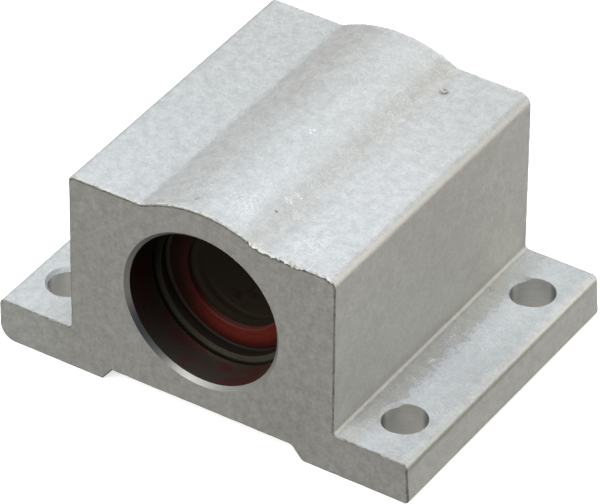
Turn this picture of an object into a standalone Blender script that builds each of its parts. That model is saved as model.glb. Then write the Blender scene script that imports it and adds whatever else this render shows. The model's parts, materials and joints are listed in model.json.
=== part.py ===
"""Linear ball bushing in a closed pillow block, for a 9.525 mm (3/8 inch) shaft.

World frame: the origin is the centre of the base, +X runs across the two flanges,
+Y runs along the bore from the front face to the rear face, and +Z is up.

Run with: blender --background --python part.py
"""

import math

import bmesh
import bpy
from mathutils import Matrix, Vector

MM = 0.001

# Pillow block
BLOCK_WIDTH = 44.45 * MM
BLOCK_LENGTH = 33.3375 * MM
BODY_WIDTH = 28.4 * MM
SHOULDER_HEIGHT = 21.8 * MM
RIDGE_HEIGHT = 23.4 * MM
RIDGE_RADIUS = 13.0 * MM
RIDGE_FOOT_FILLET_LEFT = 0.4 * MM
RIDGE_FOOT_FILLET_RIGHT = 1.8 * MM
FLANGE_THICKNESS = 4.43 * MM
FLANGE_BOTTOM_ROUND_LEFT = 1.7 * MM
FLANGE_BOTTOM_ROUND_RIGHT = 0.45 * MM
FLANGE_TOP_ROUND = 0.6 * MM
FLANGE_ROOT_FILLET = 0.4 * MM
SHOULDER_ROUND_LEFT = 0.6 * MM
SHOULDER_ROUND_RIGHT = 1.1 * MM
RELIEF_HALF_WIDTH = 9.75 * MM
RELIEF_DEPTH = 1.38 * MM
RELIEF_RUNOUT = 1.1 * MM
RELIEF_ROUND = 0.8 * MM
BOLT_HOLE_RADIUS = 2.15 * MM
BOLT_HOLE_CHAMFER = 0.3 * MM
BOLT_SPACING_X = 36.6 * MM
BOLT_SPACING_Y = 22.225 * MM

# Seat for the bushing
BORE_HEIGHT = 12.25 * MM
SEAT_RADIUS = 7.9375 * MM
MOUTH_CHAMFER = 0.45 * MM
GROOVE_RADIUS = 8.42 * MM
GROOVE_SIDE_PLAY = 0.27 * MM

# Housing retaining rings, which sit in the grooves
RING_THICKNESS = 0.9 * MM
RING_OUTER_RADIUS = 8.3 * MM
RING_INNER_RADIUS = 7.1 * MM
RING_TAPER = 0.3 * MM
RING_FRONT_DEPTH = 4.27 * MM
RING_HALF_GAP = math.radians(13)
LUG_ANGLE = math.radians(19)
LUG_INNER_RADIUS = 6.0 * MM
LUG_HOLE_RADIUS = 0.45 * MM
FRONT_RING_GAP_AT = math.radians(62)
REAR_RING_GAP_AT = math.radians(118)

# Bushing: outer sleeve, with a counterbore at each end
BUSHING_LENGTH = 22.225 * MM
SLEEVE_RADIUS = 7.86 * MM
SLEEVE_CHAMFER = 0.35 * MM
SLEEVE_BORE_RADIUS = 6.45 * MM
COUNTERBORE_RADIUS = 7.2 * MM
COUNTERBORE_DEPTH = 2.0 * MM

# Ball tracks: each circuit is a flat racetrack, tilted so that its return row lies further out
SHAFT_RADIUS = 4.7625 * MM
BALL_RADIUS = 0.79375 * MM
RETURN_ROW_RADIUS = 6.35 * MM
ROW_HALF_SPREAD = 1.6 * MM
BALLS_PER_ROW = 7
BALLS_PER_TURN = 3
CIRCUITS = 4
FIRST_CIRCUIT_AT = math.radians(62)
TRACK_CLEARANCE = 0.086 * MM
SLOT_CLEARANCE = 0.15 * MM
SLOT_FLOOR_RISE = 0.3 * MM
BEAD_NECK_RADIUS = 0.3 * MM

# Ball retainer, and the rings stacked in each counterbore, from the inside outwards
RETAINER_OUTER_RADIUS = 6.25 * MM
RETAINER_INNER_RADIUS = 4.95 * MM
RETAINER_HALF_LENGTH = 8.95 * MM
STACK_RADIUS = 7.1 * MM
STACK_GAP = 0.1 * MM
END_RING_THICKNESS = 0.5 * MM
END_RING_INNER_RADIUS = 5.2 * MM
WIPER_THICKNESS = 0.6 * MM
WIPER_LIP_RADIUS = 4.72 * MM
WIPER_LIP_THICKNESS = 0.2 * MM
WIPER_WEB_RADIUS = 5.6 * MM
SEAL_THICKNESS = 0.6 * MM
SEAL_INNER_RADIUS = 5.15 * MM
SEAL_EDGE_ROUND = 0.15 * MM

# Worked-out values
RIDGE_CENTRE_HEIGHT = RIDGE_HEIGHT - RIDGE_RADIUS
GROOVE_RING_Y = BLOCK_LENGTH / 2 - RING_FRONT_DEPTH - RING_THICKNESS / 2
LOADED_ROW_RADIUS = SHAFT_RADIUS + BALL_RADIUS
LOADED_ROW_RISE = math.sqrt(LOADED_ROW_RADIUS ** 2 - ROW_HALF_SPREAD ** 2)
RETURN_ROW_RISE = math.sqrt(RETURN_ROW_RADIUS ** 2 - ROW_HALF_SPREAD ** 2)
CIRCUIT_RADIUS = (LOADED_ROW_RISE + RETURN_ROW_RISE) / 2
CIRCUIT_TILT = math.atan2(RETURN_ROW_RISE - LOADED_ROW_RISE, 2 * ROW_HALF_SPREAD)
TURN_RADIUS = math.hypot(RETURN_ROW_RISE - LOADED_ROW_RISE, 2 * ROW_HALF_SPREAD) / 2
BALL_PITCH = math.pi * TURN_RADIUS / BALLS_PER_TURN
STRAIGHT_LENGTH = BALLS_PER_ROW * BALL_PITCH

# Facets
TURNED_STEPS = 48
HOLE_STEPS = 24
BEAD_STEPS = 8
BEAD_ARC_STEPS = 3
MERGE_DISTANCE = 1e-6
FLAT_ANGLE = math.radians(0.1)


def clear_scene():
    for existing in list(bpy.data.objects):
        bpy.data.objects.remove(existing, do_unlink=True)


def new_collection(name):
    collection = bpy.data.collections.new(name)
    bpy.context.scene.collection.children.link(collection)
    return collection


def new_material(name, color, roughness, metallic):
    material = bpy.data.materials.new(name)
    material.use_nodes = True
    shader = material.node_tree.nodes["Principled BSDF"]
    shader.inputs["Base Color"].default_value = (*color, 1.0)
    shader.inputs["Roughness"].default_value = roughness
    shader.inputs["Metallic"].default_value = metallic
    material.diffuse_color = (*color, 1.0)
    return material


def add_object(name, data, collection, material=None):
    obj = bpy.data.objects.new(name, data)
    collection.objects.link(obj)
    if material:
        data.materials.clear()
        data.materials.append(material)
    return obj


def as_helper(obj):
    """Mark a cutter, which shapes other pieces and isn't part of the object."""
    obj.hide_render = True
    obj.display_type = "WIRE"
    return obj


def add_empty(name, location, parent=None, turn_about_bore=0.0):
    empty = bpy.data.objects.new(name, None)
    empty.empty_display_size = 3 * MM
    empty.location = location
    empty.rotation_euler = (0, turn_about_bore, 0)
    empty.parent = parent
    parts.objects.link(empty)
    return empty


def cut(obj, cutter):
    modifier = obj.modifiers.new(cutter.name, "BOOLEAN")
    modifier.operation = "DIFFERENCE"
    modifier.solver = "EXACT"
    modifier.object = cutter


def evaluated_mesh(obj):
    """A welded mesh of the object with its modifiers or bevel applied, its flat caps in one face."""
    depsgraph = bpy.context.evaluated_depsgraph_get()
    mesh = bpy.data.meshes.new_from_object(obj.evaluated_get(depsgraph))
    work = bmesh.new()
    work.from_mesh(mesh)
    bmesh.ops.remove_doubles(work, verts=work.verts, dist=MERGE_DISTANCE)
    bmesh.ops.dissolve_limit(work, angle_limit=FLAT_ANGLE, verts=work.verts, edges=work.edges)
    bmesh.ops.recalc_face_normals(work, faces=work.faces)
    work.to_mesh(mesh)
    work.free()
    return mesh


def curve_to_mesh_object(curve_object, name, collection, material=None):
    mesh = evaluated_mesh(curve_object)
    obj = add_object(name, mesh, collection, material)
    obj.parent = curve_object.parent
    obj.location = curve_object.location
    obj.rotation_euler = curve_object.rotation_euler
    bpy.data.objects.remove(curve_object, do_unlink=True)
    return obj


def smooth_round_faces(mesh, sharp_degrees=35):
    mesh.shade_smooth()
    mesh.set_sharp_from_angle(angle=math.radians(sharp_degrees))


def arc(centre, radius, start, end, steps):
    """Points of an arc in a plane, from one angle to another, both ends included."""
    points = []
    for step in range(steps + 1):
        angle = start + (end - start) * step / steps
        points.append((centre[0] + radius * math.cos(angle), centre[1] + radius * math.sin(angle)))
    return points


def rounded(corners, steps=4):
    """An outline with each corner (x, y, radius) replaced by a tangent arc; radius 0 stays sharp."""
    points = []
    for index, (x, y, radius) in enumerate(corners):
        if radius == 0:
            points.append((x, y))
            continue
        corner = Vector((x, y))
        before = Vector(corners[index - 1][:2]) - corner
        after = Vector(corners[(index + 1) % len(corners)][:2]) - corner
        half_angle = before.angle(after) / 2
        middle = (before.normalized() + after.normalized()).normalized()
        centre = corner + middle * (radius / math.sin(half_angle))
        first = corner + before.normalized() * (radius / math.tan(half_angle)) - centre
        last = corner + after.normalized() * (radius / math.tan(half_angle)) - centre
        sweep = first.angle_signed(last)
        for step in range(steps + 1):
            offset = Matrix.Rotation(-sweep * step / steps, 2) @ first
            points.append(tuple(centre + offset))
    return points


def flat_plate(name, outlines, thickness, collection, material=None):
    """A plate of even thickness from a closed outline; further outlines are holes in it."""
    curve = bpy.data.curves.new(name + "_outline", "CURVE")
    curve.dimensions = "2D"
    curve.fill_mode = "BOTH"
    curve.extrude = thickness / 2
    curve.render_resolution_u = 0
    for outline in outlines:
        spline = curve.splines.new("POLY")
        spline.points.add(len(outline) - 1)
        for point, (x, y) in zip(spline.points, outline):
            point.co = (x, y, 0, 1)
        spline.use_cyclic_u = True
    return curve_to_mesh_object(add_object(name + "_outline", curve, collection), name, collection, material)


def turned(name, profile, closed, collection, material=None, parent=None, steps=TURNED_STEPS):
    """A piece turned about the bore: (radius, distance along the bore) points, outer side first.

    The profile runs from the +Y end to the -Y end along its outer side.
    """
    mesh = bpy.data.meshes.new(name)
    edges = [(index, index + 1) for index in range(len(profile) - 1)]
    if closed:
        edges.append((len(profile) - 1, 0))
    mesh.from_pydata([(radius, 0, along) for radius, along in profile], edges, [])
    obj = add_object(name, mesh, collection, material)
    obj.parent = parent
    obj.rotation_euler = (-math.pi / 2, 0, 0)
    screw = obj.modifiers.new("turn", "SCREW")
    screw.axis = "Z"
    screw.steps = steps
    screw.render_steps = steps
    screw.use_merge_vertices = True
    screw.merge_threshold = MERGE_DISTANCE
    screw.use_smooth_shade = False
    return obj


def mirrored_ends(half_profile):
    """Both halves of an open profile that is the same at each end of the bore."""
    return half_profile + [(radius, -along) for radius, along in reversed(half_profile)]


def ridge_foot(side, fillet):
    """Tangent arc from the flat shoulder up to the ridge; side is +1 for right, -1 for left."""
    rise = SHOULDER_HEIGHT + fillet - RIDGE_CENTRE_HEIGHT
    spread = math.sqrt((RIDGE_RADIUS + fillet) ** 2 - rise ** 2)
    centre = (side * spread, SHOULDER_HEIGHT + fillet)
    meeting = math.atan2(-rise, -side * spread)
    shoulder = -math.pi / 2
    if side < 0:
        return arc(centre, fillet, meeting, shoulder, 3)
    return arc(centre, fillet, shoulder, meeting, 5)


def housing_outline():
    half_width = BLOCK_WIDTH / 2
    half_body = BODY_WIDTH / 2
    foot = RELIEF_HALF_WIDTH + RELIEF_RUNOUT
    right_foot = ridge_foot(1, RIDGE_FOOT_FILLET_RIGHT)
    left_foot = ridge_foot(-1, RIDGE_FOOT_FILLET_LEFT)
    ridge_start = math.atan2(right_foot[-1][1] - RIDGE_CENTRE_HEIGHT, right_foot[-1][0])
    ridge_end = math.atan2(left_foot[0][1] - RIDGE_CENTRE_HEIGHT, left_foot[0][0])
    ridge = arc((0, RIDGE_CENTRE_HEIGHT), RIDGE_RADIUS, ridge_start, ridge_end, 14)
    corners = [
        (foot, 0, RELIEF_ROUND),
        (half_width, 0, FLANGE_BOTTOM_ROUND_RIGHT),
        (half_width, FLANGE_THICKNESS, FLANGE_TOP_ROUND),
        (half_body, FLANGE_THICKNESS, FLANGE_ROOT_FILLET),
        (half_body, SHOULDER_HEIGHT, SHOULDER_ROUND_RIGHT),
    ]
    corners += [(x, z, 0) for x, z in right_foot + ridge[1:-1] + left_foot]
    corners += [
        (-half_body, SHOULDER_HEIGHT, SHOULDER_ROUND_LEFT),
        (-half_body, FLANGE_THICKNESS, FLANGE_ROOT_FILLET),
        (-half_width, FLANGE_THICKNESS, FLANGE_TOP_ROUND),
        (-half_width, 0, FLANGE_BOTTOM_ROUND_LEFT),
        (-foot, 0, 0),
        (-RELIEF_HALF_WIDTH, RELIEF_DEPTH, 0),
        (RELIEF_HALF_WIDTH, RELIEF_DEPTH, RELIEF_ROUND),
    ]
    return rounded(corners)


def seat_cutter():
    """The bore through the block, with a groove for each retaining ring and chamfered mouths."""
    past_face = 1 * MM
    face = BLOCK_LENGTH / 2
    groove_outside = GROOVE_RING_Y + RING_THICKNESS / 2 + GROOVE_SIDE_PLAY
    groove_inside = GROOVE_RING_Y - RING_THICKNESS / 2 - GROOVE_SIDE_PLAY
    profile = mirrored_ends([
        (0, face + past_face),
        (SEAT_RADIUS + MOUTH_CHAMFER + past_face, face + past_face),
        (SEAT_RADIUS, face - MOUTH_CHAMFER),
        (SEAT_RADIUS, groove_outside),
        (GROOVE_RADIUS, groove_outside),
        (GROOVE_RADIUS, groove_inside),
        (SEAT_RADIUS, groove_inside),
    ])
    cutter = turned("seat_cutter", profile, False, cutters)
    cutter.location = (0, 0, BORE_HEIGHT)
    return as_helper(cutter)


def bolt_hole_cutter(name, x, y):
    """A plain hole down through a flange, with a small chamfer at its upper rim."""
    past_face = 1 * MM
    profile = [
        (0, FLANGE_THICKNESS + past_face),
        (BOLT_HOLE_RADIUS + BOLT_HOLE_CHAMFER + past_face, FLANGE_THICKNESS + past_face),
        (BOLT_HOLE_RADIUS, FLANGE_THICKNESS - BOLT_HOLE_CHAMFER),
        (BOLT_HOLE_RADIUS, -past_face),
        (0, -past_face),
    ]
    cutter = turned(name, profile, False, cutters, steps=HOLE_STEPS)
    cutter.rotation_euler = (0, 0, 0)
    cutter.location = (x, y, 0)
    return as_helper(cutter)


def make_housing(material):
    housing = flat_plate("housing", [housing_outline()], BLOCK_LENGTH, parts, material)
    housing.rotation_euler = (math.pi / 2, 0, 0)
    cut(housing, seat_cutter())
    for side_x, side_name in ((-1, "left"), (1, "right")):
        for side_y, end_name in ((-1, "front"), (1, "rear")):
            x = side_x * BOLT_SPACING_X / 2
            y = side_y * BOLT_SPACING_Y / 2
            cut(housing, bolt_hole_cutter(f"bolt_hole_{end_name}_{side_name}", x, y))
    return housing


def ring_outline(gap_at):
    """An open ring, thinner towards its gap, with an inward lug at each side of the gap."""
    start = gap_at + RING_HALF_GAP
    end = gap_at + 2 * math.pi - RING_HALF_GAP
    outer = arc((0, 0), RING_OUTER_RADIUS, start, end, 40)
    inner_start = end - LUG_ANGLE
    inner_end = start + LUG_ANGLE
    inner = []
    for step in range(37):
        angle = inner_start + (inner_end - inner_start) * step / 36
        radius = RING_INNER_RADIUS + RING_TAPER * (1 + math.cos(angle - gap_at)) / 2
        inner.append((radius * math.cos(angle), radius * math.sin(angle)))
    corner_round = 0.35 * MM
    corners = [(x, z, 0) for x, z in outer]
    for lug_start, lug_end, after in ((end, inner_start, inner), (inner_end, start, [])):
        lug = arc((0, 0), LUG_INNER_RADIUS, lug_start, lug_end, 3)
        corners.append((*lug[0], corner_round))
        corners += [(x, z, 0) for x, z in lug[1:-1]]
        corners.append((*lug[-1], corner_round))
        corners += [(x, z, 0) for x, z in after]
    return rounded(corners, steps=3)


def lug_hole(gap_at, side):
    radius = (LUG_INNER_RADIUS + RING_INNER_RADIUS + RING_TAPER) / 2 + 0.15 * MM
    angle = gap_at + side * (RING_HALF_GAP + LUG_ANGLE / 2)
    centre = (radius * math.cos(angle), radius * math.sin(angle))
    return arc(centre, LUG_HOLE_RADIUS, 0, 2 * math.pi, 12)[:-1]


def make_retaining_ring(name, gap_at, end_sign, material):
    outlines = [ring_outline(gap_at), lug_hole(gap_at, -1), lug_hole(gap_at, 1)]
    ring = flat_plate(name, outlines, RING_THICKNESS, parts, material)
    ring.rotation_euler = (math.pi / 2, 0, 0)
    ring.location = (0, end_sign * GROOVE_RING_Y, BORE_HEIGHT)
    return ring


def racetrack(offset, turn_steps=10):
    """Points of a circuit's centre line, or of a line at an offset outside it."""
    radius = TURN_RADIUS + offset
    half = STRAIGHT_LENGTH / 2
    rear = arc((0, half), radius, 0, math.pi, turn_steps)
    front = arc((0, -half), radius, math.pi, 2 * math.pi, turn_steps)
    return rear + front


def track_cutter(circuit, number):
    """The round channel that a circuit's balls run in, as one closed tube."""
    curve = bpy.data.curves.new(f"track_path_{number}", "CURVE")
    curve.dimensions = "3D"
    curve.bevel_depth = BALL_RADIUS + TRACK_CLEARANCE
    curve.bevel_resolution = 2
    curve.render_resolution_u = 0
    spline = curve.splines.new("POLY")
    path = racetrack(0)
    spline.points.add(len(path) - 1)
    for point, (x, y) in zip(spline.points, path):
        point.co = (x, y, 0, 1)
    spline.use_cyclic_u = True
    path_object = add_object(f"track_path_{number}", curve, cutters)
    cutter = curve_to_mesh_object(path_object, f"track_cutter_{number}", cutters)
    cutter.parent = circuit
    return as_helper(cutter)


def loading_slot_cutter(circuit, number):
    """The slot above a channel, open outwards, through which its balls are put in."""
    half_width = BALL_RADIUS + SLOT_CLEARANCE
    height = 2.4 * MM
    outlines = [racetrack(half_width), racetrack(-half_width)]
    cutter = flat_plate(f"loading_slot_{number}", outlines, height, cutters)
    cutter.parent = circuit
    cutter.location = (0, 0, SLOT_FLOOR_RISE + height / 2)
    return as_helper(cutter)


def bead_row_profile():
    """Outer side of a row of balls on a thin neck, from its +Y pole to its -Y pole."""
    neck_angle = math.asin(BEAD_NECK_RADIUS / BALL_RADIUS)
    profile = []
    for ball in range(BALLS_PER_ROW):
        centre = ((BALLS_PER_ROW - 1) / 2 - ball) * BALL_PITCH
        start = 0 if ball == 0 else neck_angle
        end = math.pi if ball == BALLS_PER_ROW - 1 else math.pi - neck_angle
        for step in range(BEAD_ARC_STEPS + 1):
            angle = start + (end - start) * step / BEAD_ARC_STEPS
            radius = BALL_RADIUS * math.sin(angle)
            if angle == math.pi:
                radius = 0
            profile.append((radius, centre + BALL_RADIUS * math.cos(angle)))
    return profile


def add_row(name, circuit, side, material):
    """A straight row of balls; side is -1 for the loaded row and +1 for the return row."""
    row = turned(name, bead_row_profile(), False, parts, material, circuit, BEAD_STEPS)
    row.location = (side * TURN_RADIUS, 0, 0)
    return row


def bead_turn_mesh():
    """Balls spaced round half a turn, joined by a thin curved neck, with the turn's centre at zero."""
    curve = bpy.data.curves.new("turn_neck_path", "CURVE")
    curve.dimensions = "3D"
    curve.bevel_depth = BEAD_NECK_RADIUS
    curve.bevel_resolution = 1
    curve.use_fill_caps = True
    curve.render_resolution_u = 0
    spline = curve.splines.new("POLY")
    first_angle = math.pi / BALLS_PER_TURN / 2
    path = arc((0, 0), TURN_RADIUS, first_angle, math.pi - first_angle, 4)
    spline.points.add(len(path) - 1)
    for point, (x, y) in zip(spline.points, path):
        point.co = (x, y, 0, 1)
    neck_path = add_object("turn_neck_path", curve, cutters)
    neck = curve_to_mesh_object(neck_path, "turn_neck", cutters)
    balls = []
    for ball in range(BALLS_PER_TURN):
        angle = first_angle + ball * math.pi / BALLS_PER_TURN
        mesh = bpy.data.meshes.new(f"turn_ball_{ball}")
        work = bmesh.new()
        bmesh.ops.create_uvsphere(work, u_segments=BEAD_STEPS, v_segments=5, radius=BALL_RADIUS)
        bmesh.ops.rotate(work, verts=work.verts, matrix=Matrix.Rotation(angle, 3, "Z"))
        bmesh.ops.translate(
            work, verts=work.verts, vec=(TURN_RADIUS * math.cos(angle), TURN_RADIUS * math.sin(angle), 0))
        work.to_mesh(mesh)
        work.free()
        balls.append(add_object(f"turn_ball_{ball}", mesh, cutters))
    for ball in balls:
        modifier = neck.modifiers.new(ball.name, "BOOLEAN")
        modifier.operation = "UNION"
        modifier.solver = "EXACT"
        modifier.object = ball
    joined = evaluated_mesh(neck)
    for helper in balls + [neck]:
        bpy.data.objects.remove(helper, do_unlink=True)
    return joined


def make_bushing(sleeve_finish, cage_finish, ring_finish, wiper_finish, seal_finish, ball_finish):
    axis = add_empty("bushing_axis", (0, 0, BORE_HEIGHT))
    end = BUSHING_LENGTH / 2
    shoulder = end - COUNTERBORE_DEPTH
    sleeve_outer = [(SLEEVE_RADIUS - SLEEVE_CHAMFER, end), (SLEEVE_RADIUS, end - SLEEVE_CHAMFER)]
    sleeve_inner = [(COUNTERBORE_RADIUS, end), (COUNTERBORE_RADIUS, shoulder), (SLEEVE_BORE_RADIUS, shoulder)]
    sleeve_profile = mirrored_ends(sleeve_outer) + list(reversed(mirrored_ends(sleeve_inner)))
    sleeve = turned("outer_sleeve", sleeve_profile, True, parts, sleeve_finish, axis)

    retainer_profile = [
        (RETAINER_OUTER_RADIUS, RETAINER_HALF_LENGTH),
        (RETAINER_OUTER_RADIUS, -RETAINER_HALF_LENGTH),
        (RETAINER_INNER_RADIUS, -RETAINER_HALF_LENGTH),
        (RETAINER_INNER_RADIUS, RETAINER_HALF_LENGTH),
    ]
    retainer = turned("ball_retainer", retainer_profile, True, parts, cage_finish, axis)

    for end_sign, end_name in ((-1, "front"), (1, "rear")):
        make_end_stack(end_name, end_sign, axis, ring_finish, wiper_finish, seal_finish)

    turn_mesh = bead_turn_mesh()
    for number in range(1, CIRCUITS + 1):
        angle = FIRST_CIRCUIT_AT + (number - 1) * 2 * math.pi / CIRCUITS
        place = (CIRCUIT_RADIUS * math.cos(angle), 0, CIRCUIT_RADIUS * math.sin(angle))
        circuit = add_empty(f"circuit_{number}", place, axis, math.pi / 2 - angle - CIRCUIT_TILT)
        channel = track_cutter(circuit, number)
        cut(sleeve, channel)
        cut(retainer, channel)
        cut(retainer, loading_slot_cutter(circuit, number))
        add_row(f"loaded_balls_{number}", circuit, -1, ball_finish)
        add_row(f"return_balls_{number}", circuit, 1, ball_finish)
        for end_sign, end_name in ((-1, "front"), (1, "rear")):
            turn = add_object(f"{end_name}_turn_balls_{number}", turn_mesh, parts, ball_finish)
            turn.parent = circuit
            turn.location = (0, end_sign * STRAIGHT_LENGTH / 2, 0)
            turn.rotation_euler = (0, 0, 0 if end_sign > 0 else math.pi)


def ring_between(name, inside, outside, end_sign, axis, finish, inner_profile):
    """A ring in a counterbore; inner_profile goes from its outside face to its inside face."""
    profile = [(STACK_RADIUS, outside), (STACK_RADIUS, inside)] + list(reversed(inner_profile))
    if end_sign < 0:
        profile = [(radius, -along) for radius, along in reversed(profile)]
    return turned(name, profile, True, parts, finish, axis)


def make_end_stack(end_name, end_sign, axis, ring_finish, wiper_finish, seal_finish):
    """End ring, wiper and seal ring, stacked outwards in the sleeve's counterbore."""
    inside = BUSHING_LENGTH / 2 - COUNTERBORE_DEPTH + STACK_GAP / 2
    outside = inside + END_RING_THICKNESS
    square_edge = [(END_RING_INNER_RADIUS, outside), (END_RING_INNER_RADIUS, inside)]
    ring_between(f"{end_name}_end_ring", inside, outside, end_sign, axis, ring_finish, square_edge)

    inside = outside + STACK_GAP
    outside = inside + WIPER_THICKNESS
    lip = [
        (WIPER_WEB_RADIUS, outside),
        (WIPER_LIP_RADIUS, inside + 1.5 * WIPER_LIP_THICKNESS),
        (WIPER_LIP_RADIUS, inside + 0.5 * WIPER_LIP_THICKNESS),
        (WIPER_LIP_RADIUS + WIPER_LIP_THICKNESS, inside),
    ]
    ring_between(f"{end_name}_wiper", inside, outside, end_sign, axis, wiper_finish, lip)

    inside = outside + STACK_GAP
    outside = inside + SEAL_THICKNESS
    centre = (SEAL_INNER_RADIUS + SEAL_EDGE_ROUND, outside - SEAL_EDGE_ROUND)
    rounded_edge = arc(centre, SEAL_EDGE_ROUND, math.pi / 2, math.pi, 3)
    rounded_edge.append((SEAL_INNER_RADIUS, inside))
    ring_between(f"{end_name}_seal_ring", inside, outside, end_sign, axis, seal_finish, rounded_edge)


clear_scene()
parts = new_collection("linear_ball_bushing")
cutters = new_collection("cutters")
aluminium = new_material("housing_aluminium", (0.60, 0.61, 0.61), 0.5, 0.8)
ring_steel = new_material("retaining_ring_steel", (0.16, 0.15, 0.13), 0.4, 1.0)
sleeve_steel = new_material("sleeve_steel", (0.32, 0.31, 0.30), 0.3, 1.0)
cage_polymer = new_material("retainer_polymer", (0.03, 0.028, 0.025), 0.5, 0.0)
end_ring_steel = new_material("end_ring_steel", (0.28, 0.27, 0.26), 0.4, 1.0)
wiper_rubber = new_material("wiper_rubber", (0.015, 0.013, 0.012), 0.6, 0.0)
seal_red = new_material("seal_red", (0.32, 0.03, 0.025), 0.5, 0.0)
ball_steel = new_material("ball_steel", (0.7, 0.7, 0.7), 0.1, 1.0)

make_housing(aluminium)
make_retaining_ring("front_retaining_ring", FRONT_RING_GAP_AT, -1, ring_steel)
make_retaining_ring("rear_retaining_ring", REAR_RING_GAP_AT, 1, ring_steel)
make_bushing(sleeve_steel, cage_polymer, end_ring_steel, wiper_rubber, seal_red, ball_steel)

bpy.context.view_layer.update()
for piece in parts.objects:
    if piece.type == "MESH":
        smooth_round_faces(piece.data)
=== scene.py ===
# Looks of the pillow-block ball bushing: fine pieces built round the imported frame, their
# materials, a pale floor, soft light from above and the camera. Lengths are in metres, and
# material coordinates are in millimetres in the frame of the part.

import json
import math

import bmesh
import bpy
from mathutils import Matrix, Vector, noise


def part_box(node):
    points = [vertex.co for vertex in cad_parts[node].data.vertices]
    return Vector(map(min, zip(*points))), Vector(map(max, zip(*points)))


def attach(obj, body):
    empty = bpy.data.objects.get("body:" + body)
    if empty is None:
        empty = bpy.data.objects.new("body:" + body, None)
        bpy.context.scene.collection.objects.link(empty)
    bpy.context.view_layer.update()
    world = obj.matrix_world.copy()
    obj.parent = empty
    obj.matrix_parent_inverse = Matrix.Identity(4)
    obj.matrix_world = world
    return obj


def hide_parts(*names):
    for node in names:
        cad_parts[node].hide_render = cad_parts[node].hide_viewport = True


MM = 0.001

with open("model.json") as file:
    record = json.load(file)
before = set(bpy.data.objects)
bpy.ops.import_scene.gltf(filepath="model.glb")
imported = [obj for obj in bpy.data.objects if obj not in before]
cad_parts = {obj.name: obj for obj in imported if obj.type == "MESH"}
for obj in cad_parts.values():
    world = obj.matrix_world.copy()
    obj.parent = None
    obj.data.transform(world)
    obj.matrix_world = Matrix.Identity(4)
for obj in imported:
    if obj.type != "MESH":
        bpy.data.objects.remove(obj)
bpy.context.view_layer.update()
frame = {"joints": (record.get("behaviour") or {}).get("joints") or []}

# Places read from the frame
block_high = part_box("housing")[1]
sleeve_low, sleeve_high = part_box("outer_sleeve")
retainer_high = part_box("ball_retainer")[1]
HALF_WIDTH = block_high.x
HALF_LENGTH = block_high.y
RIDGE_HEIGHT = block_high.z
BORE_HEIGHT = (sleeve_low.z + sleeve_high.z) / 2
SLEEVE_RADIUS = sleeve_high.x
SLEEVE_HALF_LENGTH = sleeve_high.y
RETAINER_RADIUS = retainer_high.x
RETAINER_HALF_LENGTH = retainer_high.y

# Pillow block outline
BODY_HALF_WIDTH = 14.2 * MM
SHOULDER_HEIGHT = 21.8 * MM
RIDGE_RADIUS = 13.0 * MM
RIDGE_CENTRE_HEIGHT = RIDGE_HEIGHT - RIDGE_RADIUS
RIDGE_FOOT_FILLET_LEFT = 1.4 * MM
RIDGE_FOOT_FILLET_RIGHT = 1.8 * MM
FLANGE_THICKNESS = 4.43 * MM
FLANGE_BOTTOM_ROUND_LEFT = 1.7 * MM
FLANGE_BOTTOM_ROUND_RIGHT = 0.45 * MM
FLANGE_TOP_ROUND = 0.6 * MM
FLANGE_ROOT_FILLET = 0.4 * MM
RIGHT_SIDE_LEAN = 0.3 * MM
SHOULDER_ROUND_LEFT = 0.6 * MM
SHOULDER_ROUND_RIGHT = 1.1 * MM
RELIEF_HALF_WIDTH = 9.75 * MM
RELIEF_DEPTH = 1.38 * MM
RELIEF_RUNOUT = 1.1 * MM
RELIEF_ROUND = 0.8 * MM
OUTLINE_PITCH = 0.35 * MM
OUTLINE_STEPS = 8
LEFT_FOOT_STEPS = 5
RIDGE_STEPS = 48
MITRE_LIMIT = 0.4

# End edges: a worn round, and a burr above the shoulders. COARSE_WEAR, FINE_WEAR and the sizes
# from BURR_PATCH on are those of the noise's bumps.
END_EDGE_ROUND = 0.15 * MM
END_EDGE_WEAR = 0.07 * MM
END_EDGE_STEPS = 4
COARSE_WEAR = 1.7 * MM
FINE_WEAR = 0.5 * MM
NOISE_GAIN = 1.6
END_NOISE_OFFSET = 7.3
BURRED_ABOVE = SHOULDER_HEIGHT - 0.4 * MM
BURR_PITCH = 0.12 * MM
BURR_HEIGHT = 0.22 * MM
BURR_WIDTH = 0.32 * MM
BURR_PATCH = 2.2 * MM
BURR_TEAR = 1.1 * MM
BURR_JAG = 0.75 * MM
BURR_TOOTH = 0.26 * MM
BURR_LIP = 0.31 * MM

# Share of the full burr: even at the rear; at the front with a peak, its place and spread in mm
REAR_BURR = 0.55
FRONT_BURR = 0.45
BURR_PEAK = 1.25
BURR_PEAK_X = 7
BURR_PEAK_SPREAD = 3.4

# Holes and the seat for the bushing
BOLT_HOLE_RADIUS_LEFT = 1.95 * MM
BOLT_HOLE_RADIUS_RIGHT = 2.18 * MM
BOLT_HOLE_CHAMFER = 0.38 * MM
BOLT_X = 18.3 * MM
BOLT_Y = 11.1125 * MM
SEAT_RADIUS = 7.9375 * MM
MOUTH_CHAMFER = 0.4 * MM
GROOVE_MARGIN = 0.01 * MM
GROOVE_RADIUS = 8.42 * MM
GROOVE_SIDE_PLAY = 0.27 * MM

# Share of the full chamfer at the bolt holes' mouths; angles in degrees
LEFT_MOUTH_WEAR = 0.85
LEFT_MOUTH_SWING = 0.15
LEAST_MOUTH_WEAR = 0.1
MOUTH_WEAR_FROM = 138
MOUTH_WEAR_RUN = 140
MOUTH_WEAR_RISE = 15
MOUTH_WEAR_POWER = 0.6

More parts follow.
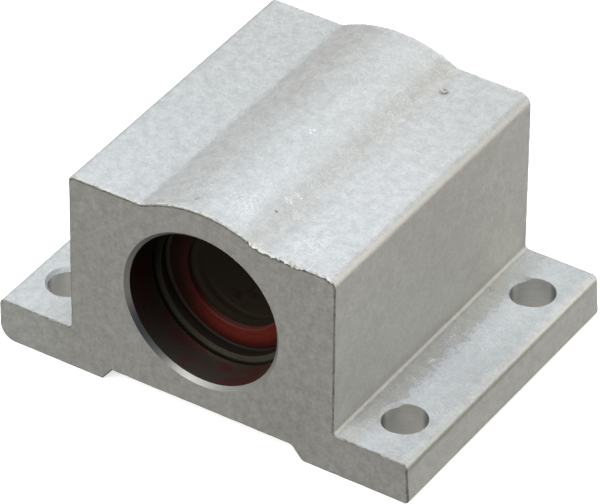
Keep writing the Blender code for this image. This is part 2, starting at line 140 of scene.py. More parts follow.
# Retaining rings
RING_OUTER_RADIUS = 8.3 * MM
RING_INNER_RADIUS = 7.1 * MM
RING_TAPER = 0.3 * MM
RING_HALF_GAP = math.radians(13)
LUG_ANGLE = math.radians(19)
LUG_INNER_RADIUS = 6.0 * MM
LUG_HOLE_RADIUS = 0.45 * MM
LUG_HOLE_OUTWARD = 0.15 * MM
LUG_CORNER_ROUND = 0.35 * MM
RING_EDGE_ROUND = 0.07 * MM
RING_GAP_AT = {"front": math.radians(62), "rear": math.radians(118)}

# Bushing
SLEEVE_CHAMFER = 0.35 * MM
SLEEVE_BORE_RADIUS = 6.45 * MM
COUNTERBORE_RADIUS = 7.2 * MM
COUNTERBORE_DEPTH = 2.0 * MM
RETAINER_INNER_RADIUS = 4.95 * MM
BALL_RADIUS = 0.79375 * MM
BALLS_PER_ROW = 7
BALLS_PER_TURN = 3
CIRCUITS = 4
TRACK_CLEARANCE = 0.086 * MM
SLOT_CLEARANCE = 0.15 * MM
SLOT_FLOOR_RISE = 0.3 * MM
SLOT_HEIGHT = 2.4 * MM
END_RING_INNER_RADIUS = 5.2 * MM
WIPER_LIP_RADIUS = 4.72 * MM
WIPER_LIP_THICKNESS = 0.2 * MM
WIPER_WEB_RADIUS = 5.6 * MM
WIPER_WEB_BEVEL = 0.1 * MM
WIPER_LIP_EDGE = 0.04 * MM
SEAL_INNER_RADIUS = 5.15 * MM
SEAL_EDGE_ROUND = 0.15 * MM
SEAL_RIM_EDGE = 0.05 * MM
END_RING_EDGE = 0.04 * MM
SLEEVE_EDGE = 0.06 * MM
RETAINER_EDGE = 0.08 * MM

# Facets
TURNED_STEPS = 192
BORE_STEPS = 240
HOLE_STEPS = 96
RING_OUTER_STEPS = 160
RING_INNER_STEPS = 144
LUG_STEPS = 6
LUG_HOLE_STEPS = 32
TRACK_TURN_STEPS = 24
TRACK_BEVEL_STEPS = 4
RING_BEVEL_STEPS = 2
SEAL_ROUND_STEPS = 6
BALL_SUBDIVISIONS = 3
RING_SHARP_DEGREES = 40
PAST_FACE = 1 * MM
WELD_DISTANCE = 1e-6
SLIVER = 0.002 * MM

# Camera
CAMERA_AIM = Vector((-0.41, 0.46, 8.04)) * MM
CAMERA_AZIMUTH = 32.523
CAMERA_ELEVATION = 37.258
CAMERA_ROLL = math.radians(0.547)
CAMERA_DISTANCE = 542.48 * MM
CAMERA_LENS = 354.0

# Marks on the skin: bright nicks and painted glints, and dark nicks, as (x, y, radius, strength), scratches
# as (angle, length)
BRIGHT_NICKS_AND_GLINTS = (
    (1.5, -0.7, 0.45, 0.8), (5.2, -8.5, 0.35, 0.8), (4.8, -9.6, 0.45, 0.5), (15.9, -2.5, 0.5, 0.6),
    (15.6, 1.4, 0.4, 0.5), (9.5, -13.5, 1.6, 0.35), (2.0, -13.0, 1.8, 0.3),
)
DARK_NICKS = (
    (7.2, 12.75, 0.45, 1.0), (4.8, -11.7, 0.16, 0.9), (14.8, 9.3, 0.4, 0.4), (-1.5, -14.9, 0.25, 0.5),
)
SCRATCHES = ((0.4, 0.9), (1.3, 0.7), (2.2, 1.1), (2.9, 0.6), (-0.5, 0.8))

# Painted light and shade across the top and the right flange, by x, and along the right side, by y
TOP_PAINTED_SHADING = (
    (-15.0, 0.97, 0.96, 0.945), (-12.5, 1.0, 1.0, 1.0), (-9.5, 1.0, 1.0, 1.0), (-6.9, 1.0, 1.0, 1.0),
    (-5.6, 0.99, 0.965, 0.94), (-4.7, 0.98, 0.95, 0.92), (-3.4, 0.965, 0.935, 0.91),
    (-1.7, 0.98, 0.97, 0.95), (0.7, 1.0, 1.0, 1.0), (2.6, 1.0, 1.0, 1.0), (4.2, 0.925, 0.915, 0.905),
    (5.3, 0.85, 0.835, 0.80), (6.5, 0.94, 0.92, 0.90), (7.6, 1.0, 1.0, 1.0), (11.0, 1.0, 1.0, 1.0),
    (15.0, 1.0, 1.0, 1.0),
)
FLANGE_PAINTED_SHADING = (
    (14.2, 0.96, 0.95, 0.93), (16.0, 0.87, 0.87, 0.86), (17.9, 0.865, 0.87, 0.885),
    (19.6, 0.79, 0.79, 0.79), (20.8, 0.745, 0.745, 0.74), (21.4, 0.78, 0.775, 0.76),
    (22.3, 0.72, 0.71, 0.69),
)
SIDE_PAINTED_SHADING = (
    (-17.0, 0.97, 0.97, 0.94), (-8.0, 0.94, 0.94, 0.91), (3.0, 0.925, 0.92, 0.895),
    (10.0, 0.985, 0.98, 0.95), (17.0, 1.0, 1.0, 1.0),
)

# Painted light and shade round the bore, by the angle about its axis
BORE_PAINTED_SHADING = (
    (-3.1, 0.62, 0.60, 0.60), (-2.3, 0.70, 0.70, 0.72), (-1.4, 1.0, 1.0, 1.0), (0.0, 0.9, 0.9, 0.9),
    (2.2, 0.45, 0.42, 0.42), (3.1, 0.58, 0.56, 0.56),
)
MOUTH_PAINTED_SHADING = (
    (-3.2, 0.78, 0.78, 0.76), (-2.95, 0.62, 0.62, 0.62), (-2.7, 0.20, 0.21, 0.235),
    (-2.3, 0.17, 0.18, 0.20), (-2.05, 0.36, 0.36, 0.37), (-1.8, 0.76, 0.75, 0.72),
    (-1.2, 0.80, 0.79, 0.75), (-0.6, 0.78, 0.77, 0.73), (0.5, 0.74, 0.735, 0.70),
    (3.2, 0.78, 0.78, 0.76),
)
CLIP_PAINTED_SHADING = (
    (-3.1, 0.24, 0.23, 0.22), (-2.2, 0.40, 0.40, 0.40), (-1.3, 0.66, 0.68, 0.63),
    (-0.5, 0.72, 0.74, 0.68), (0.3, 0.45, 0.45, 0.45), (2.2, 0.18, 0.17, 0.16), (3.1, 0.22, 0.21, 0.20),
)

# Plain finishes: noise (per mm, detail, roughness), its spread, dark and light tone, metallic,
# roughness, bump in mm, and where they aren't plain, specular and glow. The edge finish is painted
# shade and the burr's a painted highlight; the groove and the bushing's pieces are painted near
# black as shade deep in the bore, and their glow is a painted glow.
HALF = (0.35, 0.65)
PLAIN_FINISHES = {
    "painted_edge_shade": (
        (2.5, 3.0, 0.7), (0.35, 0.6), (0.14, 0.132, 0.115), (0.26, 0.252, 0.232), 0.3, 0.55, 0.02),
    "burr_painted_highlight": (
        (2.8, 3.0, 0.7), (0.38, 0.55), (0.32, 0.315, 0.295), (0.50, 0.495, 0.465), 0.2, 0.6, 0.02),
    "hole_chamfer": (
        (3.0, 3.0), HALF, (0.31, 0.312, 0.312), (0.37, 0.373, 0.373), 0.2, 0.65, 0.01),
    "groove_in_painted_shade": (
        (3.0, 3.0), HALF, (0.008, 0.007, 0.005), (0.014, 0.012, 0.009), 0.0, 0.7, 0, 0.1, 0.8),
    "stamped_steel_in_painted_shade": (
        (4.0, 2.0), HALF, (0.004, 0.0032, 0.0022), (0.006, 0.0048, 0.0033), 0.0, 0.65, 0.006, 0.15, 0.8),
    "dark_polymer_in_painted_shade": (
        (5.0, 3.0), HALF, (0.007, 0.0054, 0.0036), (0.010, 0.0077, 0.0053), 0.0, 0.7, 0.01, 0.1, 0.85),
    "black_rubber_in_painted_shade": (
        (6.0, 3.0), HALF, (0.004, 0.0031, 0.002), (0.006, 0.0046, 0.003), 0.0, 0.8, 0.012, 0.06, 0.85),
}

# The painted glow's tone deep in the bore, the seal's lit side, and the painted shade on two sides of the
# bolt holes
PAINTED_GLOW_TONE = (0.0088, 0.0065, 0.0043)
LIT_SEAL_SIDE = (0.62, 0, -0.78)
HOLE_SHADE_AXIS = (0.843, 0.538)
HOLE_SHADE_REACH = 2.1

# Lights: azimuth, elevation, distance, height aimed at, size, power and colour
LIGHTS = {
    "overhead": (0, 90, 0.8, 0.0, 0.5, 7.4, (0.86, 0.95, 1.02)),
    "front_fill": (-12, 42, 0.9, 0.0, 0.6, 6.6, (1.0, 0.97, 0.915)),
    "side_fill": (118, 14, 0.36, 0.01, 0.26, 1.0, (1.0, 0.97, 0.90)),
}
SURROUND_COLOR = (1.0, 0.98, 0.93, 1.0)
SURROUND_BELOW = 0.30
SURROUND_ABOVE = 0.10
SURROUND_BLEND = 0.15
FLOOR_SIZE = 3.0
FLOOR_DROP = 0.02 * MM


# ---- materials


class Shader:
    """Short calls that build one node material on a Principled BSDF."""

    def __init__(self, name):
        self.material = bpy.data.materials.new(name)
        self.material.use_nodes = True
        self.tree = self.material.node_tree
        self.surface = self.tree.nodes["Principled BSDF"]
        place = self.add("ShaderNodeTexCoord").outputs["Object"]
        self.place = self.vector("MULTIPLY", place, (1 / MM,) * 3)
        self.axes = self.add("ShaderNodeSeparateXYZ", {"Vector": self.place}).outputs

    def add(self, kind, inputs=None, **settings):
        node = self.tree.nodes.new(kind)
        for name, value in settings.items():
            setattr(node, name, value)
        for name, value in (inputs or {}).items():
            self.feed(node.inputs[name], value)
        return node

    def feed(self, socket, value):
        if isinstance(value, bpy.types.NodeSocket):
            self.tree.links.new(value, socket)
        elif socket.type == "RGBA" and not isinstance(value, (int, float)):
            socket.default_value = (*value, 1.0)
        else:
            socket.default_value = value

    def vector(self, operation, first, second=(0, 0, 0)):
        node = self.add("ShaderNodeVectorMath", {0: first, 1: second}, operation=operation)
        return node.outputs["Vector" if operation in ("MULTIPLY", "SUBTRACT") else "Value"]

    def math(self, operation, first, second=0.0, third=0.0):
        inputs = {0: first, 1: second, 2: third}
        return self.add("ShaderNodeMath", inputs, operation=operation).outputs[0]

    def product(self, first, *others):
        for other in others:
            first = self.math("MULTIPLY", first, other)
        return first

    def ramp(self, value, low, high, start=0.0, end=1.0, smooth=True):
        """value from low to high becomes start to end, held beyond both."""
        inputs = {"Value": value, "From Min": low, "From Max": high, "To Min": start, "To Max": end}
        kind = "SMOOTHSTEP" if smooth else "LINEAR"
        return self.add("ShaderNodeMapRange", inputs, interpolation_type=kind).outputs[0]

    def fade(self, value, low, high):
        """1 below low, falling to 0 above high."""
        return self.ramp(value, low, high, 1.0, 0.0)

    def band(self, value, low, high, edge):
        """1 between low and high, fading to 0 over edge on both sides."""
        rise = self.ramp(value, low - edge, low + edge)
        return self.product(rise, self.fade(value, high - edge, high + edge))

    def near(self, x, y, radius, edge):
        """1 within that radius in mm of a place in plan, fading to 0 over the edge's share."""
        flat = self.add("ShaderNodeCombineXYZ", {"X": self.axes[0], "Y": self.axes[1]}).outputs[0]
        away = self.vector("DISTANCE", flat, (x, y, 0))
        return self.fade(away, radius * (1 - edge), radius * (1 + edge))

    def curve(self, value, stops):
        """A smooth run of colours through (value, red, green, blue) stops, whose channels end at 1."""
        low, high = stops[0][0], stops[-1][0]
        node = self.add("ShaderNodeValToRGB", {"Fac": self.ramp(value, low, high, smooth=False)})
        node.color_ramp.interpolation = "CARDINAL"
        elements = node.color_ramp.elements
        while len(elements) < len(stops):
            elements.new(0.5)
        for element, (place, *color) in zip(elements, stops):
            element.position = (place - low) / (high - low)
            element.color = (*color, 1.0)
        return node.outputs[0]

    def mix(self, factor, first, second, blend="MIX"):
        node = self.add("ShaderNodeMix", data_type="RGBA", blend_type=blend)
        self.feed(node.inputs[0], factor)
        self.feed(node.inputs[6], first)
        self.feed(node.inputs[7], second)
        return node.outputs[2]

    def tint(self, color, tone, *shares):
        """The colour times the tone where the product of the shares is 1, unchanged where it is 0."""
        return self.mix(self.product(*shares) if shares else 1.0, color, tone, "MULTIPLY")

    def mottled(self, pattern, first, second, low=0.35, high=0.65):
        """The first colour where the pattern is low, the second where it is high."""
        return self.mix(self.ramp(pattern, low, high), first, second)

    def noise(self, per_mm, detail=3.0, roughness=0.55, place=None):
        inputs = {"Vector": place or self.place, "Scale": per_mm, "Detail": detail, "Roughness": roughness}
        return self.add("ShaderNodeTexNoise", inputs).outputs[0]

    def streaks(self, turn, length, width):
        """Noise stretched into strokes of that length and width, turned by angles about X, Y, Z."""
        inputs = {"Vector": self.place, "Rotation": turn, "Scale": (length, width, width)}
        stretched = self.add("ShaderNodeMapping", inputs, vector_type="TEXTURE").outputs[0]
        return self.noise(1.0, 2.0, 0.5, stretched)

    def specks(self, per_mm, share, radius):
        """Round spots of that radius in mm, in a share of the cells of an uneven grid."""
        cells = self.add("ShaderNodeTexVoronoi", {"Vector": self.place, "Scale": per_mm})
        spot = self.ramp(cells.outputs["Distance"], radius * per_mm * 1.4, radius * per_mm * 0.5)
        chance = self.add("ShaderNodeSeparateColor", {"Color": cells.outputs["Color"]}).outputs[0]
        return self.product(spot, self.math("LESS_THAN", chance, share))

    def facing(self, axis):
        """How far the surface faces along an axis, 0 to 2 for X, Y and Z."""
        normal = self.add("ShaderNodeNewGeometry").outputs["Normal"]
        return self.add("ShaderNodeSeparateXYZ", {"Vector": normal}).outputs[axis]

    def from_bore_axis(self):
        """The offset in mm from the bore's axis, square to it."""
        across = self.add("ShaderNodeCombineXYZ", {"X": self.axes[0], "Z": self.axes[2]}).outputs[0]
        return self.vector("SUBTRACT", across, (0, 0, BORE_HEIGHT / MM))

    def around_bore(self):
        """The angle about the bore's axis, 0 to the right and positive upwards."""
        return self.math("ARCTAN2", self.math("SUBTRACT", self.axes[2], BORE_HEIGHT / MM), self.axes[0])

    def finish(self, color, metallic, roughness, height=0.0, depth=0.0, specular=0.5, glow=0.0):
        """The material with those values, and a bump whose height runs from 0 to depth in mm; glow gives off
        the deep bore's dark tone, a painted glow, unless the colour is changed after.
        """
        values = {
            "Base Color": color, "Metallic": metallic, "Roughness": roughness,
            "Specular IOR Level": specular, "Emission Color": PAINTED_GLOW_TONE, "Emission Strength": glow,
        }
        if depth > 0:
            relief = {"Height": height, "Distance": depth * MM}
            values["Normal"] = self.add("ShaderNodeBump", relief).outputs["Normal"]
        for name, value in values.items():
            self.feed(self.surface.inputs[name], value)
        return self.material


def top_painted_shading(s, color):
    """Painted light and shade on the top: soft lengthwise bands across it, darker and warmer to the back,
    brighter at the front right and front left, and painted shade on the right shoulder's round.
    """
    x, y, z = s.axes
    across = s.math("ADD", x, s.ramp(s.noise(0.5, 2.0), 0.2, 0.8, -0.35, 0.35))
    high = s.ramp(z, 20.6, 21.4)
    color = s.tint(color, s.curve(across, TOP_PAINTED_SHADING), high)
    color = s.tint(color, (0.985, 0.97, 0.95), s.ramp(y, -8.0, 12.0), high)
    color = s.tint(color, (1.085, 1.075, 1.08), s.fade(y, -4.0, 14.0), high, s.ramp(x, 7.0, 9.0))
    color = s.tint(color, (1.06, 1.05, 1.06), s.fade(y, -16.0, -3.0), s.fade(x, -9.5, -8.0), high)
    # Painted shade dulls the right shoulder's round
    return s.tint(color, (0.80, 0.79, 0.77), s.band(z, 20.8, 21.75, 0.15), s.ramp(x, 13.0, 13.2))


def side_painted_shading(s, color):
    """Painted light and shade on the body's right side: darker low down, darkest in the middle and brighter
    to the back, and painted shade just above the flange.
    """
    x, y, z = s.axes
    on_side = s.product(s.ramp(x, 13.7, 14.1), s.fade(x, 14.3, 14.5), s.ramp(z, 4.5, 4.7))
    color = s.tint(color, (0.86, 0.86, 0.85), s.fade(z, 3.0, 20.0), on_side)
    color = s.tint(color, s.curve(y, SIDE_PAINTED_SHADING), on_side)
    color = s.tint(color, (1.09, 1.09, 1.07), s.ramp(y, 6.0, 14.0), s.fade(z, 8.0, 18.0), on_side)
    return s.tint(color, (0.86, 0.86, 0.85), s.fade(z, 4.75, 6.2), on_side)


def flange_painted_shading(s, color):
    """Painted light and shade on the flanges: the right one toned across its width, brighter to the back,
    with painted shade in its crease by the body and a little darker on its outer side; the left one paler;
    and a darker ragged-edged band beside the body on the right one.
    """
    x, y, z = s.axes
    top = s.band(z, 3.5, 4.55, 0.15)
    right = s.product(s.ramp(x, 14.2, 14.3), top)
    color = s.tint(color, s.curve(x, FLANGE_PAINTED_SHADING), right)
    ragged = s.math("ADD", s.ramp(s.noise(0.9, 6.0, 0.72), 0.28, 0.72, -0.8, 0.8), x)
    away_from_ends = s.ramp(s.math("ABSOLUTE", y), 11.0, 15.5, 1.0, 0.25)
    color = s.tint(color, (0.83, 0.81, 0.77), s.fade(ragged, 16.6, 16.8), right, away_from_ends)
    color = s.tint(color, (1.23, 1.22, 1.21), s.ramp(y, -3.0, 12.0), right)
    root = s.product(s.fade(x, 14.55, 14.7), s.band(z, 4.35, 4.85, 0.1))
    color = s.tint(color, (0.90, 0.89, 0.87), root, s.ramp(x, 14.0, 14.1))
    color = s.tint(color, (0.97, 0.97, 0.94), s.ramp(x, 21.2, 21.8), s.fade(z, 3.9, 4.1))
    return s.tint(color, (1.08, 1.07, 1.06), s.fade(x, -14.3, -14.2), top)


def aluminium_skin():
    """Tumbled extrusion skin: pale, matt, mottled, with short bright scratches, nicks and painted glints,
    dark specks, and painted light and shade by place.
    """
    s = Shader("aluminium_skin")
    mottle = s.noise(1.1, 5.0, 0.68)
    fine = s.noise(3.4, 4.0, 0.7)
    color = s.mottled(mottle, (0.395, 0.397, 0.397), (0.445, 0.447, 0.447))
    color = s.mottled(fine, color, s.tint(color, (1.13, 1.13, 1.13)))
    # Painted light and shade by place on the top, the right side and the flanges
    color = flange_painted_shading(s, side_painted_shading(s, top_painted_shading(s, color)))
    facing_up = s.ramp(s.facing(2), 0.5, 0.8)
    worn_here = s.ramp(s.noise(0.28, 2.0), 0.42, 0.62, 0.3, 1.0)
    scratch = 0.0
    for angle, length in SCRATCHES:
        stroke = s.ramp(s.streaks((0.3, 0.2, angle), length, 0.07), 0.64, 0.72)
        scratch = s.math("MAXIMUM", scratch, stroke)
    scratch = s.product(scratch, worn_here, facing_up)
    color = s.mix(s.product(scratch, 0.65), color, (0.66, 0.665, 0.66))
    # Bright nicks and painted glints, then dark nicks
    for nicks, edge, ragged, tone in (
        (BRIGHT_NICKS_AND_GLINTS, 0.6, s.ramp(s.noise(4.2, 3.0, 0.7), 0.52, 0.6), (0.82, 0.82, 0.81)),
        (DARK_NICKS, 0.5, s.ramp(s.noise(3.6, 3.0, 0.7), 0.44, 0.54), (0.15, 0.12, 0.10)),
    ):
        for x, y, radius, strength in nicks:
            color = s.mix(s.product(s.near(x, y, radius, edge), ragged, facing_up, strength), color, tone)
    pits = s.ramp(s.noise(2.6, 3.0, 0.7), 0.68, 0.76)
    color = s.mix(s.product(pits, 0.4), color, (0.25, 0.245, 0.235))
    color = s.mix(s.product(s.specks(0.36, 0.2, 0.08), 0.6), color, (0.12, 0.11, 0.10))
    height = s.math("ADD", s.product(fine, 0.8), s.product(scratch, -0.4))
    return s.finish(color, 0.35, s.ramp(mottle, 0.3, 0.7, 0.5, 0.62), height, 0.014)


def aluminium_end():
    """Milled end face: mid grey with a cloudy mottle, faint upright streaks and dark specks."""
    s = Shader("aluminium_end")
    x, _, z = s.axes
    cloud = s.noise(0.9, 4.0, 0.7)
    fine = s.noise(2.8, 4.0, 0.7)
    upright = s.streaks((0, math.pi / 2, 0), 2.6, 0.35)
    color = s.mottled(cloud, (0.370, 0.370, 0.360), (0.437, 0.438, 0.428), 0.36, 0.64)
    color = s.mottled(fine, color, s.tint(color, (0.87, 0.87, 0.865)), 0.37, 0.63)
    color = s.mottled(upright, color, s.tint(color, (1.05, 1.05, 1.04)), 0.4, 0.65)
    # Painted light on the left flange's end, and painted shade low on the right below the bore
    color = s.tint(color, (1.09, 1.12, 1.12), s.fade(x, -19.0, -13.5))
    low_right = s.product(s.ramp(x, 2.0, 8.0), s.fade(z, 3.0, 12.0), s.fade(x, 11.0, 14.0))
    color = s.tint(color, (0.93, 0.93, 0.93), low_right)
    color = s.mix(s.product(s.specks(0.3, 0.22, 0.09), 0.65), color, (0.10, 0.09, 0.08))
    return s.finish(color, 0.35, 0.55, fine, 0.012)


def plain(name):
    """A finish of two mottled tones, from PLAIN_FINISHES."""
    s = Shader(name)
    grain, spread, dark, light, metallic, roughness, *surface = PLAIN_FINISHES[name]
    pattern = s.noise(*grain)
    color = s.mottled(pattern, dark, light, *spread)
    return s.finish(color, metallic, roughness, pattern, *surface)


def machined_bore():
    """Turned seat with fine rings round the bore, painted dark reddish brown as shade deep in the bore, with
    painted reflections of the red seal and painted light and shade round it.
    """
    s = Shader("machined_bore")
    rings = s.streaks((0, 0, 0), 6.0, 0.05)
    color = s.mottled(rings, (0.13, 0.106, 0.090), (0.18, 0.150, 0.130))
    # Reddish patches: painted reflections of the red seal
    color = s.tint(color, (1.3, 0.66, 0.68), s.ramp(s.noise(0.35, 2.0), 0.45, 0.6))
    color = s.tint(color, s.curve(s.around_bore(), BORE_PAINTED_SHADING))
    return s.finish(color, 0.85, 0.4, rings, 0.004)


def machined_chamfer():
    """Turned mouth chamfer, with painted light and shade round the bore, darkest low on the left."""
    s = Shader("machined_chamfer")
    rings = s.streaks((0, 0, 0), 3.0, 0.06)
    color = s.mottled(rings, (0.36, 0.36, 0.36), (0.42, 0.42, 0.415))
    color = s.tint(color, s.curve(s.around_bore(), MOUTH_PAINTED_SHADING))
    return s.finish(color, 0.4, 0.48, rings, 0.005)


def drilled_hole():
    """Reamed wall, grey with faint marks round it, with painted shade on two opposite sides and the front
    right hole a little darker.
    """
    s = Shader("drilled_hole")
    x, y, _ = s.axes
    feed = s.noise(1.0, 2.0, 0.5, s.vector("MULTIPLY", s.place, (0.3, 0.3, 4.0)))
    color = s.mottled(feed, (0.84, 0.84, 0.82), (0.90, 0.90, 0.88))
    sideways = 0.0
    for axis, spacing, share in zip((x, y), (BOLT_X, BOLT_Y), HOLE_SHADE_AXIS):
        from_centre = s.math("SUBTRACT", axis, s.product(s.math("SIGN", axis), spacing / MM))
        sideways = s.math("MULTIPLY_ADD", from_centre, share / HOLE_SHADE_REACH, sideways)
    color = s.tint(color, (0.32, 0.32, 0.34), s.ramp(s.math("ABSOLUTE", sideways), 0.72, 1.0))
    color = s.tint(color, (0.90, 0.90, 0.89), s.ramp(x, -1.0, 1.0), s.fade(y, -1.0, 1.0))
    return s.finish(color, 0.8, 0.42, feed, 0.003)


def phosphated_steel():
    """Retaining ring: olive-grey faces with painted light and shade round the bore and painted shade at
    their inner and outer rims; its rounded edges and walls painted near black as shade.
    """
    s = Shader("phosphated_steel")
    mottle = s.noise(3.0, 3.0)
    color = s.mottled(mottle, (0.13, 0.125, 0.098), (0.16, 0.153, 0.122))
    color = s.tint(color, s.curve(s.around_bore(), CLIP_PAINTED_SHADING))
    radius = s.vector("LENGTH", s.from_bore_axis())
    rims = s.math("ADD", s.fade(radius, 7.12, 7.27), s.ramp(radius, 7.66, 7.84))
    color = s.tint(color, (0.22, 0.22, 0.22), rims)
    flat = s.ramp(s.math("ABSOLUTE", s.facing(1)), 0.3, 0.8)
    color = s.mix(flat, (0.030, 0.027, 0.021), color)
    return s.finish(color, 0.6, 0.48, mottle, 0.004)


def ground_steel_in_painted_shade():
    """The sleeve, painted nearly black as shade deep in the bore, with a painted glow."""
    s = Shader("ground_steel_in_painted_shade")
    fine = s.streaks((0, 0, 0), 5.0, 0.04)
    color = s.mottled(fine, (0.008, 0.0075, 0.0065), (0.012, 0.0115, 0.010))
    return s.finish(color, 0.0, 0.6, fine, 0.003, 0.15, 0.8)


def red_seal():
    """Red elastomer painted dark as shade deep in the bore, darker still outside a lit patch low on its
    right, with a painted highlight on its inner edge there and a painted glow.
    """
    s = Shader("red_seal")
    grain = s.noise(5.0, 3.0)
    color = s.mottled(grain, (0.085, 0.0085, 0.0065), (0.115, 0.013, 0.010))
    offset = s.from_bore_axis()
    radius = s.vector("LENGTH", offset)
    inner = SEAL_INNER_RADIUS / MM
    toward_lit_side = s.math("DIVIDE", s.vector("DOT_PRODUCT", offset, LIT_SEAL_SIDE), radius)
    lit_share = s.product(s.ramp(toward_lit_side, -0.3, 0.95), s.ramp(radius, inner + 0.75, inner + 1.85, 1.0, 0.12))
    shaded = s.product(s.ramp(radius, inner + 0.3, inner + 1.2), s.fade(toward_lit_side, -0.2, 0.6))
    color = s.tint(color, (0.30, 0.45, 0.50), shaded)
    color = s.mix(lit_share, s.tint(color, (0.24, 0.18, 0.20)), color)
    # Painted highlight along the inner edge on the lit side
    edge = s.fade(s.math("ADD", radius, s.product(grain, 0.08)), inner + 0.06, inner + 0.2)
    edge = s.product(edge, s.ramp(toward_lit_side, 0.0, 0.8, 0.0, 0.4))
    color = s.mix(edge, color, (0.075, 0.048, 0.038))
    return s.finish(color, 0.0, 0.55, grain, 0.012, 0.12, 0.25)


def polished_steel_in_painted_shade():
    """The balls, painted nearly black as shade deep in the bore, with a painted glow."""
    s = Shader("polished_steel_in_painted_shade")
    fine = s.noise(12.0, 2.0)
    color = s.mottled(fine, (0.003, 0.0024, 0.0018), (0.005, 0.004, 0.003))
    return s.finish(color, 0.0, s.ramp(fine, 0.3, 0.7, 0.66, 0.74), specular=0.05, glow=0.9)


def pale_floor():
    """Plain matt floor, lit a little by itself so that it stays near white."""
    s = Shader("pale_floor")
    s.tree.nodes.remove(s.axes[0].node)  # nothing on it follows a place
    material = s.finish((0.6, 0.6, 0.6), 0.0, 0.9, specular=0.1, glow=0.70)
    s.feed(s.surface.inputs["Emission Color"], (1.0, 1.0, 1.0))
    return material


# ---- mesh helpers


def new_object(name, data, *materials):
    obj = bpy.data.objects.new(name, data)
    bpy.context.scene.collection.objects.link(obj)
    for material in materials:
        data.materials.append(material)
    return obj


def built(name, work, *materials):
    """A new object from a bmesh, which is freed."""
    mesh = bpy.data.meshes.new(name)
    work.to_mesh(mesh)
    work.free()
    return new_object(name, mesh, *materials)


def arc(centre, radius, start, end, steps):
    """Points of an arc from one angle to another, both ends included."""
    points = []
    for step in range(steps + 1):
        angle = start + (end - start) * step / steps
        points.append((centre[0] + radius * math.cos(angle), centre[1] + radius * math.sin(angle)))
    return points


def rounded(corners, steps):
    """An outline with each corner (x, y, radius) replaced by a tangent arc; radius 0 stays sharp."""
    points = []
    for index, (x, y, radius) in enumerate(corners):
        if radius == 0:
            points.append((x, y))
            continue
        corner = Vector((x, y))
        before = Vector(corners[index - 1][:2]) - corner
        after = Vector(corners[(index + 1) % len(corners)][:2]) - corner
        half_angle = before.angle(after) / 2
        middle = (before.normalized() + after.normalized()).normalized()
        centre = corner + middle * (radius / math.sin(half_angle))
        first = corner + before.normalized() * (radius / math.tan(half_angle)) - centre
        last = corner + after.normalized() * (radius / math.tan(half_angle)) - centre
        sweep = first.angle_signed(last)
        for step in range(steps + 1):
            offset = Matrix.Rotation(-sweep * step / steps, 2) @ first
            points.append(tuple(centre + offset))
    return points


def sharp(points):
    """Corners without a round."""
    return [(x, z, 0) for x, z in points]


def evened(outline):
    """The closed outline with its long stretches divided evenly, more finely along the top."""
    points = []
    for index, point in enumerate(outline):
        start = Vector(point)
        run = Vector(outline[(index + 1) % len(outline)]) - start
        high = min(start.y, start.y + run.y) > SHOULDER_HEIGHT - SHOULDER_ROUND_RIGHT
        pieces = max(1, round(run.length / (BURR_PITCH if high else OUTLINE_PITCH)))
        points += [tuple(start + run * piece / pieces) for piece in range(pieces)]
    return points


def outward_normals(outline):
    """Unit-offset directions of a counter-clockwise outline, longer at its corners as a mitre needs."""
    normals = []
    for index, point in enumerate(outline):
        back = (Vector(point) - Vector(outline[index - 1])).normalized()
        ahead = (Vector(outline[(index + 1) % len(outline)]) - Vector(point)).normalized()
        mean = Vector((back.y + ahead.y, -back.x - ahead.x)).normalized()
        normals.append(mean / max(MITRE_LIMIT, mean.dot(Vector((ahead.y, -ahead.x)))))
    return normals


def baked(obj):
    """The object's evaluated mesh in world space, on a new object that takes its name."""
    name = obj.name
    bpy.context.view_layer.update()
    mesh = bpy.data.meshes.new_from_object(obj.evaluated_get(bpy.context.evaluated_depsgraph_get()))
    mesh.transform(obj.matrix_world)
    bpy.data.objects.remove(obj, do_unlink=True)
    mesh.name = name
    return new_object(name, mesh)


def shade(obj, sharp_degrees=30):
    """Smooth shading with sharp creases, flat faces kept flat."""
    obj.data.shade_smooth()
    obj.data.set_sharp_from_angle(angle=math.radians(sharp_degrees))
    weighted = obj.modifiers.new("flat_faces", "WEIGHTED_NORMAL")
    weighted.keep_sharp = True
    return obj


def turned(name, profile, closed, steps, *materials):
    """A mesh turned about the Z axis from (radius, height) points, outer side first from the top."""
    mesh = bpy.data.meshes.new(name)
    edges = [(index, index + 1) for index in range(len(profile) - 1)]
    if closed:
        edges.append((len(profile) - 1, 0))
    mesh.from_pydata([(radius, 0, height) for radius, height in profile], edges, [])
    obj = new_object(name, mesh, *materials)
    screw = obj.modifiers.new("turn", "SCREW")
    screw.axis = "Z"
    screw.steps = steps
    screw.render_steps = steps
    screw.use_merge_vertices = True
    screw.merge_threshold = WELD_DISTANCE
    return obj


def turned_in_bore(*shape):
    """A turned piece laid on the bore's axis, its +Z end facing +Y; takes what turned takes."""
    obj = turned(*shape)
    obj.rotation_euler = (-math.pi / 2, 0, 0)
    obj.location = (0, 0, BORE_HEIGHT)
    return baked(obj)


def mirrored_ends(half_profile):
    return half_profile + [(radius, -along) for radius, along in reversed(half_profile)]


def tube_profile(outer_half, inner_half):
    return mirrored_ends(outer_half) + mirrored_ends(inner_half)[::-1]


def flat_curve(name, outlines):
    """A curve of closed outlines in its XY plane."""
    curve = bpy.data.curves.new(name, "CURVE")
    for outline in outlines:
        spline = curve.splines.new("POLY")
        spline.points.add(len(outline) - 1)
        for point, (x, y) in zip(spline.points, outline):
            point.co = (x, y, 0, 1)
        spline.use_cyclic_u = True
    return curve


